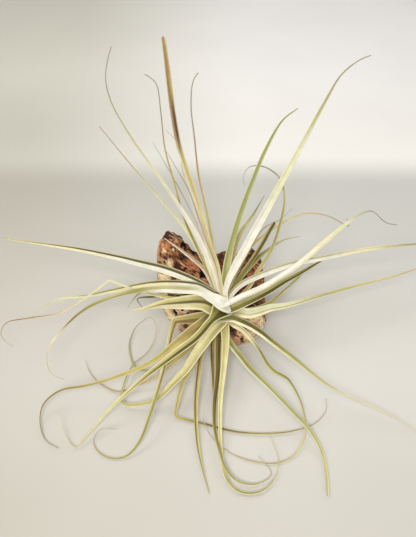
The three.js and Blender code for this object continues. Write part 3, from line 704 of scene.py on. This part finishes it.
def bladeTree():
    # a channelled blade along its spine, closed all round, thin at its margins
    numbers = ("Thickness", "Ripple", "Rib Height", "Ribs", "Meet", "Rim", "Seed", "Hairs", "Hair Length",
               "Hair Width", "Hair Lean")
    tree, given = newTree("leafBlade", [("Spine", "Geometry"), ("Rings", "Int"), ("Columns", "Int")]
                          + [(label, "Float") for label in numbers] + [("Material", "Material")], "Leaf")
    spine = field(tree, "GeometryNodeMeshToCurve", {0: given["Spine"]})
    grid = field(tree, "GeometryNodeMeshGrid", {"Size X": 1.0, "Size Y": 1.0, "Vertices X": given["Rings"],
                                                "Vertices Y": given["Columns"] + 1.0})
    spot = field(tree, "GeometryNodeInputPosition")
    share = axisOf(tree, spot, 0) + 0.5
    around = (axisOf(tree, spot, 1) + 0.5) * 4.0 - 2.0
    across = around.calc("ABSOLUTE") * -1.0 + 1.0
    face = around.calc("SIGN") * -1.0

    def sampled(label, kind="FLOAT"):
        inputs = {"Curves": spine, "Value": named(tree, label, kind), "Factor": share}
        return field(tree, "GeometryNodeSampleCurve", inputs, data_type=kind, mode="FACTOR")

    middle = place(tree, "GeometryNodeSampleCurve", {"Curves": spine, "Factor": share}, mode="FACTOR")
    centre = Field(tree, middle.outputs["Position"])
    ahead = Field(tree, middle.outputs["Tangent"]).calc("NORMALIZE")
    opening = sampled("opening", "FLOAT_VECTOR")
    opening = (opening - ahead * ahead.calc("DOT_PRODUCT", opening)).calc("NORMALIZE")
    side = ahead.calc("CROSS_PRODUCT", opening)
    halfWidth = sampled("halfWidth")
    soft = sampled("soft")
    length = field(tree, "GeometryNodeCurveLength", {0: spine})
    along = share * length

    # the section: a fold whose bottom is rounded by soft
    depth = halfWidth * sampled("fold")
    bend = (across * across + soft * soft).calc("SQRT")
    spread = (soft * soft + 1.0).calc("SQRT") - soft
    rise = depth * (bend - soft) / spread - depth * 0.5
    slope = depth * across / bend / spread
    tilt = (slope * slope + halfWidth * halfWidth).calc("SQRT")
    square = across * across
    edge = (square * square * -1.0 + 1.0).calc("MAXIMUM", 0.0).calc("SQRT")
    slim = halfWidth.between(0.0003, 0.002, 0.55, 1.0)
    half = given["Thickness"] * 0.5 * edge * slim * face
    rib = (across * given["Ribs"] * math.pi).calc("COSINE") * given["Rib Height"] * slim
    half = half + rib * (square * -1.0 + 1.0)
    outward = half / tilt
    wave = noiseAt(tree, vectorOf(tree, along * 55.0, across.calc("SIGN") * 7.0, given["Seed"]), 1.0, 1.0)
    wave = (wave - 0.5) * given["Ripple"] * square * halfWidth.between(0.0005, 0.004)

    # both ends close to a point
    steps = given["Rings"] - 1.0
    pinch = (share * steps).calc("MINIMUM", (share * -1.0 + 1.0) * steps).calc("MINIMUM", 1.0)
    sideways = (across * halfWidth - slope * outward) * pinch
    upwards = (rise + halfWidth * outward + wave) * pinch
    # stored before the grid is moved, because the fields read its flat places
    stored = grid
    for label, value in (("across", across), ("along", along), ("leafSeed", given["Seed"]),
                         ("meet", given["Meet"]), ("rim", given["Rim"]), ("broad", halfWidth),
                         ("foldShade", sampled("foldShade"))):
        stored = storeNamed(tree, stored, label, value)
    for label in ("tintLeft", "tintRight"):
        stored = storeNamed(tree, stored, label, sampled(label, "FLOAT_COLOR"), "FLOAT_COLOR")
    shape = field(tree, "GeometryNodeSetPosition", {
        "Geometry": stored, "Position": centre + side * sideways + opening * upwards})
    whole = field(tree, "GeometryNodeMergeByDistance", {"Geometry": shape, "Distance": 0.000001})
    outside = field(tree, "GeometryNodeFlipFaces", {"Mesh": whole})
    rounded = field(tree, "GeometryNodeSetShadeSmooth", {"Geometry": outside})

    # short leaning hairs on the broad part, clear of the floor
    height = axisOf(tree, spot, 2)
    density = given["Hairs"] * named(tree, "broad").between(0.0012, 0.0018) * height.between(0.005, 0.007)
    roots = place(tree, "GeometryNodeDistributePointsOnFaces", {
        "Mesh": rounded, "Density": density}, distribute_method="RANDOM")
    hair = field(tree, "GeometryNodeMeshCone", {
        "Vertices": 3, "Radius Top": 0.0, "Radius Bottom": given["Hair Width"] * 0.5,
        "Depth": given["Hair Length"]})
    for label in ("tintLeft", "tintRight"):
        hair = storeNamed(tree, hair, label, linear(chips["white"]), "FLOAT_COLOR")
    leanLimit = vectorOf(tree, given["Hair Lean"], given["Hair Lean"], 3.0)
    lean = field(tree, "FunctionNodeRandomValue", {0: leanLimit * -1.0, 1: leanLimit},
                 data_type="FLOAT_VECTOR")
    turn = field(tree, "FunctionNodeRotateRotation", {0: Field(tree, roots.outputs["Rotation"]), 1: lean},
                 rotation_space="LOCAL")
    down = field(tree, "GeometryNodeInstanceOnPoints", {
        "Points": Field(tree, roots.outputs["Points"]), "Instance": hair, "Rotation": turn})
    both = tree.nodes.new("GeometryNodeJoinGeometry")
    plug(tree, both.inputs[0], down)
    plug(tree, both.inputs[0], rounded)
    finishTree(tree, Field(tree, both.outputs[0]), given["Material"])
    return tree


blade = bladeTree()
for number, leaf in enumerate(leaves):
    spine, whole = spineMesh(leaf)
    mesh = growMesh(leaf["name"], spine, blade, {
        "Rings": int(whole / leafShape["ringGap"]),
        "Columns": leafShape["columns" if leaf["widths"][0] > leafShape["wispWidth"] else "wispColumns"],
        "Thickness": leafShape["thickness"] * mm,
        "Ripple": leafShape["ripple"] * mm,
        "Rib Height": leafShape["ribHeight"] * mm,
        "Ribs": leafShape["ribs"],
        "Hairs": leafShape["hairs"],
        "Hair Length": leafShape["hairLength"] * mm,
        "Hair Width": leafShape["hairWidth"] * mm,
        "Hair Lean": leafShape["hairLean"],
        "Meet": leaf.get("meet", 0.0),
        "Rim": leaf.get("rim", leafShape["rim"]),
        "Seed": float(number * 3),
        "Material": leafMaterials[leaf["slot"]],
    })
    addPiece(leaf["name"] + "_blade", mesh, leaf["name"])
print("leaves grown:", len(leaves))


# Crown

def crownMesh():
    # a leaning bulb with the edges of its old sheaths standing round it
    axis = crown["top"] - crown["foot"]
    lean = Vector((0, 0, 1)).rotation_difference(axis.normalized())
    rows = crown["rows"]
    sides = crown["sides"]
    points = []
    for row in range(1, rows):
        share = row / rows
        radius = alongList(crown["radii"], share)
        for side in range(sides):
            angle = math.tau * side / sides
            step = (share * crown["sheaths"] + 0.5 * math.sin(angle * 2 + 9 * share)) % 1.0
            reach = radius * (1 - crown["sheathStep"] + crown["sheathStep"] * step)
            spot = Vector((reach * math.cos(angle), reach * math.sin(angle), axis.length * share))
            points.append((crown["foot"] + lean @ spot) * mm)
    points += [crown["foot"] * mm, crown["top"] * mm]
    mesh = bpy.data.meshes.new("crown")
    mesh.from_pydata(points, [], ringFaces(rows - 1, sides))
    for label, side in (("tintLeft", "left"), ("tintRight", "right")):
        storeValues(mesh, label, coloursOf(crown[side]) * len(points), "FLOAT_COLOR")
    storeValues(mesh, "across", [-(point.z / mm - crown["middle"]) / crown["half"] for point in points])
    storeValues(mesh, "along", [point.x for point in points])
    mesh.shade_smooth()
    mesh.materials.append(leafMaterials["silver_leaf"])
    return mesh


addPiece("crown_bulb", crownMesh(), "crown")
print("crown made")


# Wood

woodShape = {
    "outline": [(31, -45), (47, -37), (56, -20), (56, 5), (56, 30), (48, 44), (25, 45), (8, 44), (-10, 46),
                (-28, 54), (-46, 56), (-57, 43), (-56, 20), (-49, -6), (-40, -20), (-28, -28), (-5, -34),
                (15, -41)],
    "frontHeight": 27,
    "climb": 0.3,
    # x, y, radius and rise of each
    "lobes": [(-43, 46, 18.5, 18), (-12, 50, 12, -5), (48, 36, 18, 5), (10, -24, 15, -5)],
    "steepness": 5,        # of the lobes' sides
    "wall": [0.93, 0.99, 1.02, 1, 1.01, 0.97],
    "roughness": 1.8,
    "columns": 170,
    "footRings": 12,
    "wallRings": 34,
    "topRings": 42,
    "grain": (0.85, -0.35, -0.4),
    "seed": 4.0,
}

# How high or deep each form of the relief is in millimetres, and how many go to a metre
woodRelief = {
    "Lump": (1.6, 60.0),
    "Ridge": (1.8, 170.0),
    "Knob": (1.0, 190.0),
    "Crack": (1.6, 75.0),
    "Pit": (2.5, 140.0),
}

# plum and shade also darken the ridge hollows and cracks, as painted shade
woodTones = {
    "face": (166, 106, 66),
    "bark": (112, 70, 46),
    "ember": (184, 118, 74),
    "knob": (104, 84, 54),
    "plum": (60, 33, 27),
    # near-black: painted shade in holes and pits
    "holeShade": (20, 11, 10),
    "streak": (212, 162, 124),
    "blush": (224, 186, 158),
    "shade": (168, 124, 88),
    "tan": (212, 176, 132),
    "cream": (244, 222, 174),
    "ivory": (246, 234, 212),
}

# Spots of one tone: their place, how far they reach along x, y and z, how deep they are and their tone
# The near-black spots are holes carved into the wood, painted dark as painted shade.
woodSpots = [
    ((0, -45, 0), (80, 30, 26), 0, "tan"),
    ((47, -40, 18), (22, 22, 24), 0, "cream"),
    ((-44, -20, 18), (18, 16, 26), 0, "cream"),
    ((-54, 6, 30), (12, 26, 28), 0, "cream"),
    ((-44, 52, 74), (24, 10, 12), 0, "knob"),
    ((-45, 48, 74), (6, 8, 6), 0, "plum"),
    ((-36, 53, 70), (4, 2, 2), 1.0, "plum"),
    ((-50, 41, 72), (10, 4, 5), 0, "bark"),
    ((-35, 34, 59), (6, 5, 6), 0, "bark"),
    ((-23, 34, 51), (9, 3, 3), 0, "bark"),
    ((-56, 38, 60), (3.5, 9, 16), 0, "tan"),
    ((-50, 37, 66), (9, 6, 6), 0, "ember"),
    ((-41, 32, 61), (8, 4, 5), 0, "ember"),
    ((-53, 16, 45), (12, 9, 9), 0, "cream"),
    ((-38, 13, 44), (14, 5, 5), 0, "tan"),
    ((-46, 27, 50), (7, 7, 6), 0, "cream"),
    ((-46, 35, 66), (10, 1.6, 1.6), 0, "cream"),
    ((-18, 25, 45), (9, 1.5, 2), 0, "streak"),
    ((-19, 28, 46), (13, 8, 8), 0, "face"),
    ((-32, -24, 29), (12, 8, 8), 0, "blush"),
    ((-30, -30, 12), (10, 8, 8), 0, "blush"),
    ((27, -46, 10), (8, 8, 14), 0, "streak"),
    ((47, -34, 27), (5, 3, 3), 0, "streak"),
    ((45, 41, 60), (7, 5, 4), 0, "knob"),
    ((-36, 29, 49), (5, 7, 8), 1.2, "plum"),
    ((-48, 30, 57), (2.5, 4, 5), 1.0, "plum"),
    ((-54, 34, 58), (2.5, 3, 3), 2.0, "holeShade"),
    ((-28, -4, 36.5), (16, 5, 5), 1.5, "plum"),
    ((-26, -29, 15), (3, 4, 6), 1.0, "bark"),
    ((10, 44, 54), (9, 5, 4), 0, "bark"),
    ((37, 33, 53), (4, 4, 5), 2.5, "plum"),
    ((44, 35, 54), (2.5, 4, 4), 2.0, "plum"),
    ((50, -15, 34), (9, 8, 6), 0, "bark"),
    ((42, -16, 36), (6, 5, 5), 1.0, "plum"),
    ((-39, 15, 43), (4, 3, 3), 0.6, "bark"),
    ((22, -42, 22), (4, 7, 7), 2.0, "plum"),
    ((-28, 47, 62), (5.5, 9, 8), 4.0, "holeShade"),
    ((-20, 48, 51), (3.5, 5, 5), 3.0, "holeShade"),
    ((-31, 35, 54), (4, 4, 4), 2.5, "holeShade"),
    ((-8, 23, 39), (4.5, 9, 9), 5.0, "holeShade"),
    ((-31, 21, 47), (3.5, 2.5, 3), 2.0, "holeShade"),
    ((-39, -22, 28), (3, 4, 5), 3.0, "holeShade"),
    ((56, 28, 44), (5, 4, 5), 1.5, "holeShade"),
    ((56, 38, 54), (5, 5, 4), 1.0, "plum"),
    ((32, -42, 11), (2.2, 6, 11), 3.0, "holeShade"),
    ((34, -41, 26), (3, 3, 2), 2.0, "holeShade"),
]


def woodTop(x, y):
    slope = woodShape["frontHeight"] + woodShape["climb"] * (y + 40)
    lobes = sum(rise * math.exp(-(math.hypot(x - atX, y - atY) / radius) ** woodShape["steepness"])
                for atX, atY, radius, rise in woodShape["lobes"])
    grain = math.sin(0.21 * x + 1.4 * math.sin(0.11 * y)) + 0.7 * math.sin(0.37 * y + 0.26 * x)
    return slope + lobes + woodShape["roughness"] * grain


def outlinePoint(share):
    corners = [Vector((x, y, 0)) for x, y in woodShape["outline"]]
    spot = share * len(corners)
    number = int(spot) % len(corners)
    ring = [corners[(number + i) % len(corners)] for i in (-1, 0, 1, 2)]
    return curvePoint(ring, 1, spot - int(spot))[0]


def spotted(spot):
    # the wood's tone at a place, with painted shade in its holes, and how far it is hollowed there
    wander = noise.noise(spot * 0.22) * 0.45 + noise.noise(spot * 0.6) * 0.3
    tone = Vector(linear(woodTones["face"])).lerp(Vector(linear(woodTones["bark"])),
                                                  smooth(noise.noise(spot * 0.07), -0.3, 0.3))
    hollow = 0.0
    for middle, reach, depth, word in woodSpots:
        away = Vector([(spot[i] - middle[i]) / reach[i] for i in range(3)]).length + wander
        if away < 1.2:
            share = 1 - smooth(away, 0.7, 1.1)
            tone = tone.lerp(Vector(linear(woodTones[word])), share)
            hollow += depth * share
    return tone, hollow


def woodMesh():
    outline = woodShape["outline"]
    middle = Vector((sum(x for x, _ in outline), sum(y for _, y in outline), 0)) / len(outline)
    columns = woodShape["columns"]
    walls = woodShape["wallRings"]
    tops = woodShape["topRings"]
    levels = [(alongList(woodShape["wall"], ring / walls), ring / walls) for ring in range(walls + 1)]
    levels += [(woodShape["wall"][-1] * (1 - ring / tops), 1.0) for ring in range(1, tops)]
    feet = woodShape["footRings"]
    levels = [(woodShape["wall"][0] * ring / feet, 0.0) for ring in range(1, feet)] + levels
    ring = [outlinePoint(column / columns) - middle for column in range(columns)]
    points = []
    for share, rise in levels:
        for out in ring:
            x, y = middle.x + out.x * share, middle.y + out.y * share
            points.append(Vector((x, y, rise * woodTop(x, y))))
    points += [middle, Vector((middle.x, middle.y, woodTop(middle.x, middle.y)))]
    mesh = bpy.data.meshes.new("woodForm")
    mesh.from_pydata([point * mm for point in points], [], ringFaces(len(levels), columns))
    tones, hollows = zip(*[spotted(point) for point in points])
    storeValues(mesh, "tone", tones, "FLOAT_COLOR")
    storeValues(mesh, "hollow", hollows)
    return mesh


def grainwise(tree, spot):
    # places measured along the wood's grain, drawn out four times, and across it
    grain = Vector(woodShape["grain"]).normalized()
    across = grain.cross(Vector((0, 0, 1))).normalized()
    third = grain.cross(across)
    shares = [spot.calc("DOT_PRODUCT", tuple(axis)) for axis in (grain * 0.25, across, third)]
    return vectorOf(tree, *shares)


def reliefTree():
    # lumps, ridges, knobs, cracks and pits, over the hollows that the wood's form already has
    tree, given = newTree("woodRelief", [("Wood", "Geometry")] + [(word, "Float") for word in woodRelief]
                          + [("Seed", "Float"), ("Material", "Material")], "Wood")
    scale = {word: number for word, (_, number) in woodRelief.items()}
    fine = field(tree, "GeometryNodeSubdivideMesh", {"Mesh": given["Wood"], "Level": 1})
    spot = field(tree, "GeometryNodeInputPosition")
    outward = field(tree, "GeometryNodeInputNormal")
    hollow = named(tree, "hollow")
    shifted = spot + vectorOf(tree, given["Seed"], 0.0, 0.0)
    lump = noiseAt(tree, shifted, scale["Lump"]) - 0.5
    warp = noiseAt(tree, shifted, scale["Lump"], output=1) - (0.5, 0.5, 0.5)
    stretched = grainwise(tree, shifted) + warp * 0.012
    ridge = noiseAt(tree, stretched, scale["Ridge"], 4.0) - 0.5
    ridge = ridge.calc("ABSOLUTE") * -3.0 + 0.4
    knob = field(tree, "ShaderNodeTexVoronoi", {"Vector": shifted + warp * 0.01, "Scale": scale["Knob"]})
    knob = knob * -1.0 + 0.5
    edges = field(tree, "ShaderNodeTexVoronoi", {
        "Vector": stretched + warp * 0.01, "Scale": scale["Crack"]}, feature="DISTANCE_TO_EDGE")
    crack = edges.between(0.09, 0.01) * noiseAt(tree, shifted, 55.0, 1.0).between(0.42, 0.56)
    cells = field(tree, "ShaderNodeTexVoronoi", {"Vector": shifted * (1.0, 1.0, 0.7) + warp * 0.02,
                                                 "Scale": scale["Pit"]})
    crowd = noiseAt(tree, shifted, 38.0, 1.0).between(0.54, 0.66)
    pit = cells.between(0.42, 0.14) * crowd
    ground = axisOf(tree, spot, 2).between(0.0005, 0.004)
    amount = lump * given["Lump"] * 2.0 + ridge * given["Ridge"] + knob * given["Knob"]
    amount = amount - crack * given["Crack"] - pit * given["Pit"] - hollow * mm
    stored = fine
    for label, value in (("pit", pit), ("ridge", ridge), ("crack", crack)):
        stored = storeNamed(tree, stored, label, value)
    shape = field(tree, "GeometryNodeSetPosition", {
        "Geometry": stored, "Offset": outward * (amount * ground)})
    rounded = field(tree, "GeometryNodeSetShadeSmooth", {"Geometry": shape})
    finishTree(tree, rounded, given["Material"])
    return tree


def woodMaterial():
    material, tree, shader = newMaterial("wood")
    spot = field(tree, "ShaderNodeTexCoord", output="Object")
    small = noiseAt(tree, grainwise(tree, spot), 420.0, 4.0)
    blotches = noiseAt(tree, spot, 330.0, 3.0)
    fine = noiseAt(tree, spot, 1500.0, 3.0)
    base = attribute(tree, "tone", "Color")
    # pale wood has paler streaks and shadows than red wood
    pale = field(tree, "ShaderNodeSeparateColor", {0: base}).between(0.42, 0.62)
    light = mixed(tree, pale, linear(woodTones["streak"]), linear(woodTones["ivory"]))
    dark = mixed(tree, pale, linear(woodTones["plum"]), linear(woodTones["shade"]))
    # streaks along the grain, light and dark, then blotches
    base = mixed(tree, small.between(0.53, 0.66, 0.0, 0.7), base, light)
    base = mixed(tree, small.between(0.48, 0.38, 0.0, 0.85), base, dark)
    base = mixed(tree, blotches.between(0.58, 0.68, 0.0, 0.5), base, dark)
    # painted shade in the hollows between the ridges, in the cracks, which are partly dark lines of their
    # own, and in pits and holes
    base = mixed(tree, attribute(tree, "ridge").between(0.1, -0.35, 0.0, 0.75), base, dark)
    base = mixed(tree, attribute(tree, "crack").between(0.2, 0.9, 0.0, 0.7), base, dark)
    # painted shade: pits and the deepest hollows go near-black
    base = mixed(tree, attribute(tree, "pit").between(0.25, 0.8), base, linear(woodTones["holeShade"]))
    base = mixed(tree, attribute(tree, "hollow").between(1.8, 3.0), base, linear(woodTones["holeShade"]))
    base = mixed(tree, fine.between(0.55, 0.8, 0.0, 0.3), base, dark)
    plug(tree, shader.inputs["Base Color"], base)
    plug(tree, shader.inputs["Roughness"], small.between(0.3, 0.7, 0.72, 0.95))
    shader.inputs["Specular IOR Level"].default_value = 0.25
    bump = field(tree, "ShaderNodeBump", {"Height": small * 0.6 + fine * 0.4, "Strength": 0.8,
                                          "Distance": 0.0006})
    plug(tree, shader.inputs["Normal"], bump)
    return material


reliefValues = {word: height * mm for word, (height, _) in woodRelief.items()}
reliefValues["Seed"] = woodShape["seed"]
reliefValues["Material"] = woodMaterial()
addPiece("wood_block", growMesh("wood", woodMesh(), reliefTree(), reliefValues), "wood")
print("wood carved")


# Floor, light and camera

studio = {
    # The floor's tones are painted light: they grow lighter from left to right and towards the backdrop,
    # as the studio light falls, with a lighter band under the front leaves.
    "tones": [  # where each tone of the floor starts and is full, and its colour at left and right
        ((-3.0, -2.9), (181, 176, 163), (192, 189, 179)),
        ((-0.24, -0.06), (195, 191, 180), (208, 205, 197)),
        ((-0.10, 0.23), (183, 179, 166), (203, 201, 194)),
        ((0.235, 0.31), (203, 200, 187), (246, 243, 236)),
        ((0.36, 0.6), (221, 218, 204), (252, 249, 244)),
    ],
    "sides": (-0.3, 0.1),
    "lights": [  # place, size, power, colour
        ((-0.08, -0.75, 0.88), 0.35, 9.0, (1.0, 0.99, 0.97)),
        ((-0.6, 0.1, 1.0), 0.45, 3.3, (1.0, 0.99, 0.97)),
        ((0.9, 0.2, 1.1), 1.0, 2.4, (0.97, 0.98, 1.0)),
        ((0.0, 0.9, 1.3), 1.2, 4.5, (1.0, 1.0, 1.0)),
    ],
    "target": (0, -0.03, 0.05),   # of every light
    "sky": 0.36,
    "skyColour": (1.0, 0.99, 0.98, 1.0),
    "floorReach": 3.0,
    "camera": (-0.003, -0.408, 0.480),
    "tilt": 45.0,
    "focalPixels": 571.0,
    "framePixels": 537.0,
    "sensor": 36.0,
}


def floorMaterial():
    material, tree, shader = newMaterial("floor")
    spot = field(tree, "ShaderNodeTexCoord", output="Object")
    # painted light: every tone is lighter at the right than at the left
    aside = axisOf(tree, spot, 0).between(*studio["sides"])
    depth = axisOf(tree, spot, 1)
    cloud = noiseAt(tree, spot, 6.0, 2.0)
    base = linear(studio["tones"][0][1])
    for (start, full), left, right in studio["tones"]:
        tone = mixed(tree, aside, linear(left), linear(right))
        base = mixed(tree, depth.between(start, full), base, tone)
    base = mixed(tree, 1.0, base, shaded(tree, cloud.between(0.3, 0.7, 0.98, 1.01)), "MULTIPLY")
    plug(tree, shader.inputs["Base Color"], base)
    shader.inputs["Roughness"].default_value = 0.7
    shader.inputs["Specular IOR Level"].default_value = 0.2
    return material


def makeFloor():
    mesh = bpy.data.meshes.new("floor")
    reach = studio["floorReach"]
    mesh.from_pydata([(-reach, -reach, 0), (reach, -reach, 0), (reach, reach, 0), (-reach, reach, 0)], [],
                     [(0, 1, 2, 3)])
    mesh.materials.append(floorMaterial())
    floor = addObject("floor", mesh)


def makeLights():
    target = Vector(studio["target"])
    for number, (spot, size, power, colour) in enumerate(studio["lights"]):
        lamp = bpy.data.lights.new("lamp%d" % number, "AREA")
        lamp.size = size
        lamp.energy = power
        lamp.color = colour
        holder = addObject(lamp.name, lamp)
        holder.location = spot
        holder.rotation_euler = (target - Vector(spot)).to_track_quat("-Z", "Y").to_euler()
    world = bpy.data.worlds.new("studio")
    world.use_nodes = True
    sky = world.node_tree.nodes["Background"]
    sky.inputs["Color"].default_value = studio["skyColour"]
    sky.inputs["Strength"].default_value = studio["sky"]
    bpy.context.scene.world = world


def makeCamera():
    camera = bpy.data.cameras.new("camera")
    camera.sensor_width = studio["sensor"]
    camera.lens = studio["sensor"] * studio["focalPixels"] / studio["framePixels"]
    holder = addObject("camera", camera)
    holder.location = studio["camera"]
    holder.rotation_euler = (math.radians(studio["tilt"]), 0, 0)
    bpy.context.scene.camera = holder


makeFloor()
makeLights()
makeCamera()
bpy.context.scene.view_settings.view_transform = "Standard"
print("floor, light and camera set")
